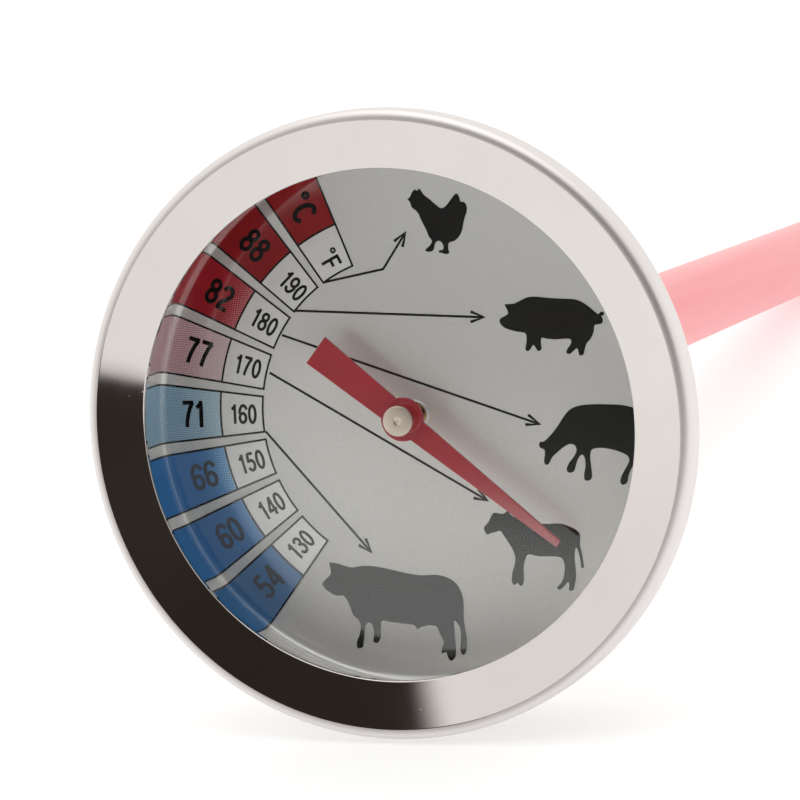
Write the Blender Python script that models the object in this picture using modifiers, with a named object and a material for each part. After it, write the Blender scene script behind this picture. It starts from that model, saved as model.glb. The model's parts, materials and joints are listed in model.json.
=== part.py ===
"""Dial meat thermometer with a bimetal stem and a slide-off probe sheath.

Metres, +Z up. The dial faces -Y and the stem runs towards +Y. The thermometer lies on the lower edge of its rim and
on the end of its sheath, so the axis slopes down towards the back. Every turned piece is drawn as (radius, depth) in
millimetres, where depth is the distance behind the frontmost plane of the bezel, along the axis.
"""

import math

import bmesh
import bpy
from mathutils import Vector

MM = 0.001

# Driving dimensions, in millimetres
RIM_R = 26.0  # outside radius of the head
BEZEL_IN_R = 21.14  # clear radius of the bezel
BEZEL_IN_S = 0.72  # depth of the bezel's inner edge
BEZEL_LIP_IN_R = 23.7  # inner radius of the rolled-over back lip
SHEET_T = 0.45  # sheet thickness of bezel and cup
LENS_R, LENS_S, LENS_T = 24.7, 1.32, 1.0
GASKET_IN_R, GASKET_T = 22.3, 0.24
CUP_IN_R, CUP_FLANGE_R = 23.1, 25.2
CUP_FLANGE_S, CUP_FLOOR_S, CUP_CORNER_R = 2.64, 11.4, 1.2
CUP_SEAT_R, CUP_SEAT_DEPTH = 5.5, 0.3  # shallow seat for the collar, pressed into the cup's back
DIAL_R, DIAL_S, DIAL_T, DIAL_HOLE_R = 22.7, 8.3, 0.3, 1.05  # the dial is a shallow dish, and this is inside its rim
DIAL_CORNER_R, DIAL_RIM_S = 0.7, 2.9
NECK_R = 2.5  # neck of the collar, through the cup floor
STEM_R, STEM_IN_R = 2.0, 1.74
STEM_TOP_S, STEM_END_S = 9.9, 134.0
STEM_POINT_S = 141.8
SHEATH_R, SHEATH_IN_R = 3.7, 2.35  # radius at the closed end, and the bore's
SHEATH_MOUTH_R = 4.1  # the outside tapers towards the closed end
SHEATH_MOUTH_S, SHEATH_END_S = 14.2, 150.0
SPIGOT_R, SPIGOT_END_S = 2.6, 18.0
SPINDLE_R, SPINDLE_BORE_R = 0.5, 0.56
POINTER_S, POINTER_T = 5.05, 0.3
POINTER_TIP_L, POINTER_TAIL_L = 16.66, 9.36
POINTER_BOSS_R = 1.85
POINTER_ANGLE = math.radians(-38.3)  # room temperature, counter-clockwise from the dial's right
HUB_R, HUB_S = 1.2, 3.75
COIL_R, COIL_TOP_S, COIL_END_S, COIL_PITCH = 1.28, 96.2, 128.2, 2.0
COIL_STRIP_W, COIL_STRIP_T = 1.1, 0.26

BIG, MID, FINE = 48, 24, 16  # facets round the head, the stem and the spindle


def clear_scene():
    for obj in list(bpy.data.objects):
        bpy.data.objects.remove(obj, do_unlink=True)


def collection(name):
    made = bpy.data.collections.new(name)
    bpy.context.scene.collection.children.link(made)
    return made


def empty(name, parent=None, location=(0, 0, 0), rotation=(0, 0, 0)):
    obj = bpy.data.objects.new(name, None)
    obj.empty_display_size = 0.01
    obj.parent = parent
    obj.location = location
    obj.rotation_euler = rotation
    PARTS.objects.link(obj)
    return obj


def material(name, color, roughness, metallic=0.0, transmission=0.0):
    mat = bpy.data.materials.new(name)
    mat.use_nodes = True
    shader = mat.node_tree.nodes["Principled BSDF"]
    shader.inputs["Base Color"].default_value = (*color, 1.0)
    shader.inputs["Roughness"].default_value = roughness
    shader.inputs["Metallic"].default_value = metallic
    shader.inputs["Transmission Weight"].default_value = transmission
    mat.diffuse_color = (*color, 1.0)
    return mat


def smooth(mesh, angle=30):
    mesh.shade_smooth()
    mesh.set_sharp_from_angle(angle=math.radians(angle))


def arc(cx, cy, r, start, end, steps):
    """Points of an arc in the (radius, depth) plane, angles in degrees from the radius axis towards depth."""
    return [
        (
            cx + r * math.cos(math.radians(start + (end - start) * i / steps)),
            cy + r * math.sin(math.radians(start + (end - start) * i / steps)),
        )
        for i in range(steps + 1)
    ]


def shoelace(points):
    return sum(
        a[0] * b[1] - b[0] * a[1] for a, b in zip(points, points[1:] + points[:1])
    )


def turned(name, profile, steps, mat, parent):
    """A piece turned about the local Z axis from a closed outline, or from an open one that starts and ends on the axis."""
    solid = abs(profile[0][0]) < 1e-9 and abs(profile[-1][0]) < 1e-9
    if shoelace(profile) > 0:
        profile = profile[::-1]
    mesh = bpy.data.meshes.new(name)
    points = [(r * MM, 0.0, s * MM) for r, s in profile]
    edges = [(i, i + 1) for i in range(len(points) - 1)]
    if not solid:
        edges.append((len(points) - 1, 0))
    mesh.from_pydata(points, edges, [])
    obj = bpy.data.objects.new(name, mesh)
    PARTS.objects.link(obj)
    screw = obj.modifiers.new("Turn", "SCREW")
    screw.axis = "Z"
    screw.angle = 2 * math.pi
    screw.steps = steps
    screw.render_steps = steps
    screw.use_merge_vertices = True
    screw.merge_threshold = 0.00001
    screw.use_smooth_shade = True
    obj.parent = parent
    # Half a facet round, so that a flat and not an edge is lowest.
    obj.rotation_euler = (0, 0, math.pi / steps)
    return finish(obj, mat)


def finish(obj, mat, angle=30):
    """Turns modifiers or a curve into a mesh, welds its caps and shades it."""
    bpy.context.view_layer.update()
    graph = bpy.context.evaluated_depsgraph_get()
    mesh = bpy.data.meshes.new_from_object(obj.evaluated_get(graph))
    bm = bmesh.new()
    bm.from_mesh(mesh)
    bmesh.ops.remove_doubles(bm, verts=bm.verts, dist=0.000001)
    if obj.type == "CURVE":
        bmesh.ops.recalc_face_normals(bm, faces=bm.faces)
    bm.to_mesh(mesh)
    bm.free()
    mesh.name = obj.name
    smooth(mesh, angle)
    mesh.materials.clear()
    mesh.materials.append(mat)
    if obj.type == "MESH":
        obj.modifiers.clear()
        obj.data = mesh
        return obj
    name, parent, rotation = obj.name, obj.parent, obj.rotation_euler.copy()
    location = obj.location.copy()
    bpy.data.objects.remove(obj, do_unlink=True)
    made = bpy.data.objects.new(name, mesh)
    made.parent = parent
    made.location = location
    made.rotation_euler = rotation
    PARTS.objects.link(made)
    return made


def bezel_profile():
    t = SHEET_T
    roll = arc(25.08, 0.96, 0.92, -98, 0, 6)
    face = [
        (BEZEL_IN_R, BEZEL_IN_S + t),
        (BEZEL_IN_R, BEZEL_IN_S),
        (BEZEL_IN_R + 0.18, BEZEL_IN_S - 0.09),
    ]
    back = [
        (RIM_R, 2.62),
        (25.84, 3.08),
        (25.42, 3.38),
        (BEZEL_LIP_IN_R, 3.44),
        (BEZEL_LIP_IN_R, 3.06),
        (25.25, 3.04),
        (25.5, 2.72),
        (25.5, 0.95),
        (25.05, 0.62),
    ]
    return face + roll + back


def cup_profile():
    t = SHEET_T
    inner_corner = arc(
        CUP_IN_R - CUP_CORNER_R, CUP_FLOOR_S - CUP_CORNER_R, CUP_CORNER_R, 0, 90, 3
    )
    outer_corner = arc(
        CUP_IN_R - CUP_CORNER_R, CUP_FLOOR_S - CUP_CORNER_R, CUP_CORNER_R + t, 90, 0, 3
    )
    hole = NECK_R + 0.06
    return (
        [(CUP_IN_R, CUP_FLANGE_S)]
        + inner_corner
        + [
            (CUP_SEAT_R + 0.4, CUP_FLOOR_S),
            (CUP_SEAT_R, CUP_FLOOR_S - CUP_SEAT_DEPTH),
            (hole, CUP_FLOOR_S - CUP_SEAT_DEPTH),
            (hole, CUP_FLOOR_S - CUP_SEAT_DEPTH + t),
            (CUP_SEAT_R, CUP_FLOOR_S - CUP_SEAT_DEPTH + t),
            (CUP_SEAT_R + 0.4, CUP_FLOOR_S + t),
        ]
        + outer_corner
        + [
            (CUP_IN_R + t, CUP_FLANGE_S + 0.36),
            (CUP_FLANGE_R, CUP_FLANGE_S + 0.36),
            (CUP_FLANGE_R, CUP_FLANGE_S),
        ]
    )


def dial_profile():
    t = DIAL_T
    centre = (DIAL_R - DIAL_CORNER_R, DIAL_S - DIAL_CORNER_R)
    return (
        [(DIAL_HOLE_R, DIAL_S)]
        + arc(*centre, DIAL_CORNER_R, 90, 0, 3)
        + [(DIAL_R, DIAL_RIM_S), (DIAL_R + t, DIAL_RIM_S)]
        + arc(*centre, DIAL_CORNER_R + t, 0, 90, 3)
        + [(DIAL_HOLE_R, DIAL_S + t)]
    )


def ring(r_in, r_out, s_front, s_back):
    return [(r_in, s_front), (r_out, s_front), (r_out, s_back), (r_in, s_back)]


def rod(r, s_front, s_back):
    return [(0, s_front), (r, s_front), (r, s_back), (0, s_back)]


def flat_outline(name, outer, holes, thickness, mat, parent, s_mid, spin):
    """A flat plate cut from sheet: an outline with holes, filled both ways and extruded by half its thickness."""
    data = bpy.data.curves.new(name, "CURVE")
    data.dimensions = "2D"
    data.fill_mode = "BOTH"
    data.extrude = thickness * MM / 2
    for loop in [outer] + holes:
        spline = data.splines.new("POLY")
        spline.points.add(len(loop) - 1)
        for point, (x, y) in zip(spline.points, loop):
            point.co = (x * MM, y * MM, 0, 1)
        spline.use_cyclic_u = True
    obj = bpy.data.objects.new(name, data)
    PARTS.objects.link(obj)
    obj.parent = parent
    obj.location = (0, 0, s_mid * MM)
    obj.rotation_euler = (0, 0, spin)
    return finish(obj, mat)


def pointer_outline():
    """The strip from its wide tail to its narrow tip, swelling to a round boss at the spindle."""
    tail_w, tail_root, tip_root, tip_w = 1.385, 1.07, 0.96, 0.315
    b = POINTER_BOSS_R
    tail_angle = math.degrees(math.asin(tail_root / b))
    tip_angle = math.degrees(math.asin(tip_root / b))
    upper = arc(0, 0, b, tip_angle, 180 - tail_angle, 8)
    lower = arc(0, 0, b, 180 + tail_angle, 360 - tip_angle, 8)
    return (
        [(POINTER_TIP_L, -tip_w), (POINTER_TIP_L, tip_w)]
        + upper
        + [(-POINTER_TAIL_L, tail_w), (-POINTER_TAIL_L, -tail_w)]
        + lower
    )


def coil(name, mat, parent):
    """A helical strip: a rectangle swept along a helix about the axis."""
    guide = bpy.data.curves.new(name + "_section", "CURVE")
    guide.dimensions = "2D"
    w, t = COIL_STRIP_W * MM / 2, COIL_STRIP_T * MM / 2
    spline = guide.splines.new("POLY")
    spline.points.add(3)
    for point, co in zip(spline.points, ((-t, -w), (t, -w), (t, w), (-t, w))):
        point.co = (*co, 0, 1)
    spline.use_cyclic_u = True
    section = bpy.data.objects.new(name + "_section", guide)
    section.hide_render = True
    section.display_type = "WIRE"
    CUTTERS.objects.link(section)

    data = bpy.data.curves.new(name, "CURVE")
    data.dimensions = "3D"
    data.twist_mode = "Z_UP"
    data.bevel_mode = "OBJECT"
    data.bevel_object = section
    data.use_fill_caps = True
    a_turn = 12
    length = COIL_END_S - COIL_TOP_S - COIL_STRIP_W
    count = round(length / COIL_PITCH * a_turn)
    path = data.splines.new("POLY")
    path.points.add(count)
    for i, point in enumerate(path.points):
        angle = 2 * math.pi * i / a_turn
        s = COIL_TOP_S + COIL_STRIP_W / 2 + length * i / count
        point.co = (
            COIL_R * MM * math.cos(angle),
            COIL_R * MM * math.sin(angle),
            s * MM,
            1,
        )
    obj = bpy.data.objects.new(name, data)
    PARTS.objects.link(obj)
    obj.parent = parent
    return finish(obj, mat, 40)


def rest_slope():
    """The slope of the axis when the rim's back edge and the round end of the sheath both touch the table."""
    rise = RIM_R - SHEATH_R
    run = (SHEATH_END_S - SHEATH_R) - 2.62
    return math.atan2(rise, run)


clear_scene()
PARTS = collection("meat_thermometer")
CUTTERS = collection("guides")

steel = material("polished_steel", (0.78, 0.77, 0.75), 0.08, 1.0)
satin = material("satin_steel", (0.70, 0.70, 0.69), 0.28, 1.0)
glass = material("clear_glass", (0.95, 0.98, 0.97), 0.02, 0.0, 1.0)
rubber = material("black_rubber", (0.03, 0.03, 0.03), 0.75)
dial_paint = material("dial_print", (0.62, 0.61, 0.58), 0.35)
brass = material("brass", (0.72, 0.55, 0.25), 0.3, 1.0)
red_paint = material("pointer_red", (0.42, 0.03, 0.05), 0.4)
nickel = material("nickel", (0.80, 0.77, 0.70), 0.22, 1.0)
spring_steel = material("bimetal", (0.55, 0.50, 0.44), 0.35, 1.0)
pink = material("pink_plastic", (0.90, 0.32, 0.34), 0.3, 0.0, 0.3)

SLOPE = rest_slope()
# Local +Z runs down the stem; it becomes +Y and slightly down.
frame = empty("thermometer_axis", rotation=(-(math.pi / 2 + SLOPE), 0, 0))
pointer_axis = empty("pointer_axis", frame, (0, 0, 0))
sheath_slide = empty("sheath_slide", frame, (0, 0, 0))

# Head
turned("bezel_ring", bezel_profile(), BIG, steel, frame)
turned("lens", rod(LENS_R, LENS_S, LENS_S + LENS_T), BIG, glass, frame)
gasket_s = LENS_S + LENS_T + 0.04
turned(
    "lens_gasket",
    ring(GASKET_IN_R, LENS_R, gasket_s, gasket_s + GASKET_T),
    BIG,
    rubber,
    frame,
)
turned("case_cup", cup_profile(), BIG, steel, frame)
turned("dial_plate", dial_profile(), BIG, dial_paint, frame)
turned(
    "dial_support_ring",
    ring(DIAL_R - 1.9, DIAL_R - 1.1, DIAL_S + DIAL_T + 0.04, CUP_FLOOR_S - 0.06),
    BIG,
    satin,
    frame,
)

# Stem
seat_s = CUP_FLOOR_S - CUP_SEAT_DEPTH
floor_back = seat_s + SHEET_T
turned(
    "collar_lock_ring",
    ring(NECK_R + 0.06, 4.4, seat_s - 0.95, seat_s - 0.06),
    MID,
    brass,
    frame,
)
turned(
    "collar_washer", ring(NECK_R + 0.06, 4.4, floor_back + 0.05, floor_back + 0.3), MID, rubber, frame
)
bore = STEM_R + 0.06
flange_s = floor_back + 0.35
turned(
    "stem_collar",
    [
        (bore, STEM_TOP_S),
        (NECK_R, STEM_TOP_S),
        (NECK_R, flange_s),
        (4.7, flange_s),
        (5.0, flange_s + 0.3),
        (5.0, flange_s + 1.2),
        (4.5, flange_s + 1.6),
        (SPIGOT_R, flange_s + 1.6),
        (SPIGOT_R, SPIGOT_END_S - 0.2),
        (SPIGOT_R - 0.2, SPIGOT_END_S),
        (bore, SPIGOT_END_S),
    ],
    MID,
    satin,
    frame,
)
turned("stem_tube", ring(STEM_IN_R, STEM_R, STEM_TOP_S, STEM_END_S), MID, steel, frame)
plug = STEM_IN_R - 0.06
turned(
    "stem_tip",
    [
        (0, STEM_END_S - 4),
        (plug, STEM_END_S - 4),
        (plug, STEM_END_S + 0.06),
        (STEM_R, STEM_END_S + 0.06),
        (STEM_R, STEM_END_S + 0.6),
        (0.55, STEM_POINT_S - 0.55),
        (0.4, STEM_POINT_S - 0.2),
        (0, STEM_POINT_S),
    ],
    MID,
    steel,
    frame,
)
turned(
    "spindle_bearing",
    [
        (SPINDLE_BORE_R, 9.1),
        (1.35, 9.1),
        (1.9, 9.3),
        (1.9, STEM_TOP_S - 0.06),
        (plug, STEM_TOP_S - 0.06),
        (plug, 13.0),
        (SPINDLE_BORE_R, 13.0),
    ],
    FINE,
    brass,
    frame,
)
turned("spindle_guide", ring(SPINDLE_BORE_R, plug, 52.0, 54.0), FINE, brass, frame)
coil("bimetal_coil", spring_steel, frame)
turned("coil_anchor", rod(plug, COIL_END_S + 0.2, STEM_END_S - 4.2), FINE, brass, frame)

# Turning on the spindle's axis
turned(
    "spindle",
    [
        (0, HUB_S + 0.45),
        (SPINDLE_R, HUB_S + 0.45),
        (SPINDLE_R, 5.82),
        (0.72, 5.82),
        (0.72, 6.7),
        (SPINDLE_R, 6.7),
        (SPINDLE_R, COIL_TOP_S - 0.6),
        (0, COIL_TOP_S - 0.6),
    ],
    FINE,
    satin,
    pointer_axis,
)
hole = arc(0, 0, SPINDLE_BORE_R, 0, 360 - 22.5, 15)
flat_outline(
    "pointer",
    pointer_outline(),
    [hole],
    POINTER_T,
    red_paint,
    pointer_axis,
    POINTER_S + POINTER_T / 2,
    -POINTER_ANGLE,  # local Y runs down the dial, so the angle changes sign
)
turned(
    "pointer_hub",
    [
        (0, HUB_S + 0.12),
        (0.28, HUB_S),
        (HUB_R - 0.08, HUB_S),
        (HUB_R, HUB_S + 0.08),
        (HUB_R, HUB_S + 0.36),
        (0.9, HUB_S + 0.42),
        (0.9, POINTER_S - 0.04),
        (SPINDLE_BORE_R, POINTER_S - 0.04),
        (SPINDLE_BORE_R, HUB_S + 0.38),
        (0, HUB_S + 0.38),
    ],
    MID,
    nickel,
    pointer_axis,
)
turned(
    "pointer_washer",
    ring(SPINDLE_BORE_R, 1.1, POINTER_S + POINTER_T + 0.04, 5.78),
    FINE,
    brass,
    pointer_axis,
)
turned(
    "coil_coupling", ring(SPINDLE_BORE_R, 1.3, COIL_TOP_S - 3.6, COIL_TOP_S - 0.9), FINE, brass, pointer_axis
)

# Sliding off along the stem
counterbore = SPIGOT_R + 0.1
turned(
    "sheath",
    [(0, SHEATH_END_S)]
    + arc(0, SHEATH_END_S - SHEATH_R, SHEATH_R, 75, 0, 5)
    + [
        (SHEATH_MOUTH_R, SHEATH_MOUTH_S + 0.3),
        (SHEATH_MOUTH_R - 0.3, SHEATH_MOUTH_S),
        (counterbore, SHEATH_MOUTH_S),
        (counterbore, SPIGOT_END_S + 0.3),
        (SHEATH_IN_R, SPIGOT_END_S + 0.6),
        (SHEATH_IN_R, 143.0),
        (1.2, 145.4),
        (0, 145.4),
    ],
    MID,
    pink,
    sheath_slide,
)

# Set the thermometer down: its lowest point at Z = 0 and its box centred over the origin.
bpy.context.view_layer.update()
corners = [
    obj.matrix_world @ vertex.co
    for obj in PARTS.objects
    if obj.type == "MESH"
    for vertex in obj.data.vertices
]
low = Vector([min(c[i] for c in corners) for i in range(3)])
high = Vector([max(c[i] for c in corners) for i in range(3)])
frame.location = (-(low.x + high.x) / 2, -(low.y + high.y) / 2, -low.z)
bpy.context.view_layer.update()
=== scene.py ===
"""Looks for the dial meat thermometer: fine turned metal, glass, printed dial, painted pointer and plastic sheath."""
import json
import math

import bmesh
import bpy
import numpy as np
from mathutils import Matrix, Vector
from mathutils.geometry import delaunay_2d_cdt


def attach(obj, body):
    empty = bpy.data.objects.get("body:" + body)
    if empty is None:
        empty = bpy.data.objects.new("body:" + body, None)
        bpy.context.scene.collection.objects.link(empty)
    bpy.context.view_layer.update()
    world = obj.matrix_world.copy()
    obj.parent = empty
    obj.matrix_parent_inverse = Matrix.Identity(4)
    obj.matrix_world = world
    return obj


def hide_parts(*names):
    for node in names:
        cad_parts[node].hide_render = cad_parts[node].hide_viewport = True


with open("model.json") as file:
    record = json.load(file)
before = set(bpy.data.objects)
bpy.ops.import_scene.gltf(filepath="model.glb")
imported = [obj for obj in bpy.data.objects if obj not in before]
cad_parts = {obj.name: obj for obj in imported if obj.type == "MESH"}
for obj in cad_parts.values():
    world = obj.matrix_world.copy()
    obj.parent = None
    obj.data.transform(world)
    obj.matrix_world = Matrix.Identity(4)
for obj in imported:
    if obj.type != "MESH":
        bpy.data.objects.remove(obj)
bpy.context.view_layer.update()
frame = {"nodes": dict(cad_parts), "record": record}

MM = 0.001

# ---------------------------------------------------------------- the object's own frame
JOINTS = {j["name"]: j for j in frame["record"]["behaviour"]["joints"]}
AXIS = Vector(JOINTS["pointer_turn"]["axis"]).normalized()  # down the stem
HUB = Vector(JOINTS["pointer_turn"]["pos_m"])  # on the axis, at the pointer, 5.2 mm behind the bezel's front
FRONT = HUB - AXIS * 5.2 * MM
RIGHT = Vector((1, 0, 0))
UP = (-AXIS).cross(RIGHT)  # up the dial
UP.normalize()


def dial_matrix(s):
    """X right, Y up the dial, Z towards the viewer, with the origin on the axis s mm behind the bezel's front."""
    m = Matrix((RIGHT, UP, -AXIS)).transposed().to_4x4()
    m.translation = FRONT + AXIS * s * MM
    return m


STEM = Matrix((RIGHT, -UP, AXIS)).transposed().to_4x4()  # Z down the stem
STEM.translation = FRONT

# ---------------------------------------------------------------- node helpers


class Tree:
    def __init__(self, name):
        self.mat = bpy.data.materials.new(name)
        self.mat.use_nodes = True
        self.nt = self.mat.node_tree
        self.nt.nodes.clear()
        self.out = self.nt.nodes.new("ShaderNodeOutputMaterial")

    def node(self, kind, **inputs):
        n = self.nt.nodes.new(kind)
        for key, value in inputs.items():
            if key.startswith("p_"):
                setattr(n, key[2:], value)
        for key, value in inputs.items():
            if key.startswith("p_"):
                continue
            socket = n.inputs[int(key[1:])] if key[0] == "i" and key[1:].isdigit() else n.inputs[key.replace("_", " ")]
            if isinstance(value, bpy.types.NodeSocket):
                self.nt.links.new(value, socket)
            else:
                socket.default_value = value
        return n

    def math(self, op, a, b=0.0, c=0.0, clamp=False):
        return self.node("ShaderNodeMath", p_operation=op, p_use_clamp=clamp, i0=a, i1=b, i2=c).outputs[0]

    def smooth(self, x, low, high):
        n = self.node("ShaderNodeMapRange", p_interpolation_type="SMOOTHSTEP", p_clamp=True)
        self.nt.links.new(x, n.inputs["Value"])
        n.inputs["From Min"].default_value = low
        n.inputs["From Max"].default_value = high
        return n.outputs["Result"]

    def remap(self, x, a0, a1, b0, b1):
        n = self.node("ShaderNodeMapRange", p_clamp=True)
        self.nt.links.new(x, n.inputs["Value"])
        for key, v in (("From Min", a0), ("From Max", a1), ("To Min", b0), ("To Max", b1)):
            n.inputs[key].default_value = v
        return n.outputs["Result"]

    def mix(self, fac, a, b):
        n = self.node("ShaderNodeMix", p_data_type="RGBA", p_blend_type="MIX")
        for socket, v in ((n.inputs[0], fac), (n.inputs[6], a), (n.inputs[7], b)):
            if isinstance(v, bpy.types.NodeSocket):
                self.nt.links.new(v, socket)
            elif isinstance(v, (tuple, list)):
                socket.default_value = (*v[:3], 1.0)
            else:
                socket.default_value = v
        return n.outputs[2]

    def coords(self):
        return self.node("ShaderNodeTexCoord").outputs["Object"]

    def noise(self, vector, scale, detail=2.0, roughness=0.5):
        n = self.node("ShaderNodeTexNoise", Scale=scale, Detail=detail, Roughness=roughness)
        self.nt.links.new(vector, n.inputs["Vector"])
        return n.outputs["Fac"]

    def scaled(self, vector, by):
        n = self.node("ShaderNodeVectorMath", p_operation="MULTIPLY")
        self.nt.links.new(vector, n.inputs[0])
        n.inputs[1].default_value = by
        return n.outputs[0]

    def polar(self, along, radial, around):
        """A vector that varies fast along the radius and the axis and slowly round it, for turned and brushed marks."""
        sep = self.node("ShaderNodeSeparateXYZ", Vector=self.coords())
        x, y, z = sep.outputs
        r = self.math("SQRT", self.math("ADD", self.math("MULTIPLY", x, x), self.math("MULTIPLY", y, y)))
        safe = self.math("MAXIMUM", r, 1e-5)
        cx = self.math("MULTIPLY", self.math("DIVIDE", x, safe), around)
        cy = self.math("MULTIPLY", self.math("DIVIDE", y, safe), around)
        u = self.math("ADD", self.math("MULTIPLY", r, radial), self.math("MULTIPLY", z, along))
        return self.node("ShaderNodeCombineXYZ", X=cx, Y=cy, Z=u).outputs[0]

    def bump(self, height, strength, distance):
        return self.node("ShaderNodeBump", Strength=strength, Distance=distance, Height=height).outputs[0]

    def principled(self, **inputs):
        return self.node("ShaderNodeBsdfPrincipled", **inputs)

    def finish(self, shader):
        self.nt.links.new(shader.outputs[0] if hasattr(shader, "outputs") else shader, self.out.inputs[0])
        return self.mat


def srgb(r, g, b):
    def lin(c):
        c /= 255
        return c / 12.92 if c <= 0.04045 else ((c + 0.055) / 1.055) ** 2.4
    return (lin(r), lin(g), lin(b), 1.0)


# ---------------------------------------------------------------- materials
def steel(name, color=(0.80, 0.78, 0.755), rough=(0.05, 0.11), brush=0.02, specks=0.5, along=24000, radial=24000, edge=None):
    """Polished stainless: fine marks round the axis, faint smears and a few specks of dust. Past the radius `edge`, in
    metres, it is left satin where the sheet was rolled over, and its colour there carries painted shade: a darker line
    where the roll begins, lighter further out.
    """
    t = Tree(name)
    rings = t.noise(t.polar(along, radial, 9.0), 1.0, 3.0, 0.6)
    smear = t.noise(t.coords(), 130.0, 3.0, 0.6)
    # hairline scratches: noise stretched in one direction, thresholded
    rot = t.node("ShaderNodeMapping", Vector=t.coords())
    rot.inputs["Rotation"].default_value = (0.3, 0.2, 0.7)
    rot.inputs["Scale"].default_value = (14000, 500, 2600)
    hairs = t.smooth(t.noise(rot.outputs[0], 1.0, 1.0), 0.78, 0.86)
    rough_v = t.remap(smear, 0.3, 0.7, rough[0], rough[1])
    rough_v = t.math("ADD", rough_v, t.math("MULTIPLY", rings, 0.02))
    rough_v = t.math("ADD", rough_v, t.math("MULTIPLY", hairs, 0.03))
    # dust: sparse small dots
    vor = t.node("ShaderNodeTexVoronoi", p_feature="F1", Scale=900.0)
    t.nt.links.new(t.coords(), vor.inputs["Vector"])
    dots = t.math("SUBTRACT", 1.0, t.smooth(vor.outputs["Distance"], 0.035, 0.085))
    pick = t.smooth(t.node("ShaderNodeSeparateColor", Color=vor.outputs["Color"]).outputs[0], 0.90, 0.92)
    dust = t.math("MULTIPLY", t.math("MULTIPLY", dots, pick), specks)
    tint = t.mix(t.remap(smear, 0.35, 0.75, 0.0, 1.0), color, tuple(c * 0.965 for c in color[:3]))
    if edge:
        sep = t.node("ShaderNodeSeparateXYZ", Vector=t.coords())
        r = t.math("SQRT", t.math("ADD", t.math("MULTIPLY", sep.outputs[0], sep.outputs[0]), t.math("MULTIPLY", sep.outputs[1], sep.outputs[1])))
        rolled = t.smooth(r, edge, edge + 0.00008)
        # painted shade: past edge the colour is darker where the roll begins and lighter further out; the added
        # roughness is the real satin
        tint = t.mix(rolled, tint, t.mix(t.smooth(r, edge + 0.00015, edge + 0.0006), (0.60, 0.57, 0.555), (0.76, 0.73, 0.72)))
        rough_v = t.math("ADD", rough_v, t.math("MULTIPLY", rolled, 0.42))
    base = t.mix(dust, tint, (0.62, 0.58, 0.52))
    height = t.math("ADD", t.math("MULTIPLY", rings, 1.0), t.math("MULTIPLY", hairs, -0.1))
    p = t.principled(Metallic=1.0)
    t.nt.links.new(base, p.inputs["Base Color"])
    t.nt.links.new(t.math("ADD", rough_v, t.math("MULTIPLY", dust, 0.5)), p.inputs["Roughness"])
    t.nt.links.new(t.bump(height, brush, 0.00002), p.inputs["Normal"])
    return t.finish(p)


def turned_metal(name, color, rough, marks=0.25, scale=16000, tarnish=0.12):
    """Machined metal with visible turning marks, darkened a little in patches."""
    t = Tree(name)
    rings = t.noise(t.polar(scale, scale, 4.0), 1.0, 3.0, 0.65)
    patches = t.noise(t.coords(), 700.0, 4.0, 0.6)
    p = t.principled(Metallic=1.0)
    dark = tuple(c * (1 - tarnish * 2.2) for c in color[:3])
    t.nt.links.new(t.mix(t.remap(patches, 0.35, 0.75, 0.0, 1.0), color, dark), p.inputs["Base Color"])
    t.nt.links.new(t.math("ADD", t.remap(patches, 0.3, 0.7, rough * 0.8, rough * 1.3), t.math("MULTIPLY", rings, 0.08)), p.inputs["Roughness"])
    t.nt.links.new(t.bump(rings, marks, 0.00003), p.inputs["Normal"])
    return t.finish(p)


def paint(name, color, rough=0.38, peel=0.12, edge=(0.30, 0.02, 0.03), metallic=0.0):
    """Sprayed enamel on sheet: orange peel, slight shade variation and fine dust."""
    t = Tree(name)
    shade = t.noise(t.coords(), 400.0, 3.0, 0.6)
    fine = t.noise(t.coords(), 6000.0, 2.0, 0.5)
    p = t.principled(Metallic=metallic)
    col = t.mix(t.remap(shade, 0.3, 0.75, 0.0, 0.5), color, edge)
    t.nt.links.new(col, p.inputs["Base Color"])
    t.nt.links.new(t.remap(shade, 0.3, 0.7, rough * 0.85, rough * 1.2), p.inputs["Roughness"])
    t.nt.links.new(t.bump(fine, peel, 0.00003), p.inputs["Normal"])
    varnish(p)
    p.inputs["Coat IOR"].default_value = 2.3
    return t.finish(p)


def varnish(p, weight=1.0, rough=0.05):
    """The glossy clear coat over the dial and its print."""
    p.inputs["Coat Weight"].default_value = weight
    p.inputs["Coat IOR"].default_value = 1.88
    p.inputs["Coat Roughness"].default_value = rough


def dial_base(name):
    """Satin silver-grey lacquer on aluminium: a very fine grain under a soft sheen, with painted light and shade across
    the dial.
    """
    t = Tree(name)
    grain = t.noise(t.coords(), 9000.0, 2.0, 0.7)
    cloud = t.noise(t.coords(), 90.0, 3.0, 0.55)
    # painted light and shade (the mask thick is not a lacquer thickness): darker towards the top right, lighter towards
    # the lower left and darker again at the very bottom, for uneven light on the dial
    x, y, z = t.node("ShaderNodeSeparateXYZ", Vector=t.coords()).outputs
    down = t.math("SUBTRACT", y, t.math("MULTIPLY", x, 0.35))
    thick = t.math("MULTIPLY", t.smooth(down, -0.016, 0.008), t.math("SUBTRACT", 1.0, t.math("MULTIPLY", t.smooth(y, 0.014, 0.021), 0.3)))
    col = t.mix(thick, DIAL_PAINTED_SHADE, DIAL_PAINTED_LIT)
    col = t.mix(t.remap(cloud, 0.3, 0.7, 0.0, 0.06), col, (0.45, 0.44, 0.43))
    col = t.mix(t.remap(grain, 0.35, 0.65, 0.0, 0.16), col, (0.20, 0.20, 0.19))
    p = t.principled(Metallic=0.15)
    t.nt.links.new(col, p.inputs["Base Color"])
    t.nt.links.new(t.remap(grain, 0.3, 0.7, 0.42, 0.52), p.inputs["Roughness"])
    t.nt.links.new(t.bump(grain, 0.10, 0.00002), p.inputs["Normal"])
    varnish(p, 1.0, 0.09)
    p.inputs["Coat IOR"].default_value = 2.4
    return t.finish(p)


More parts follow.
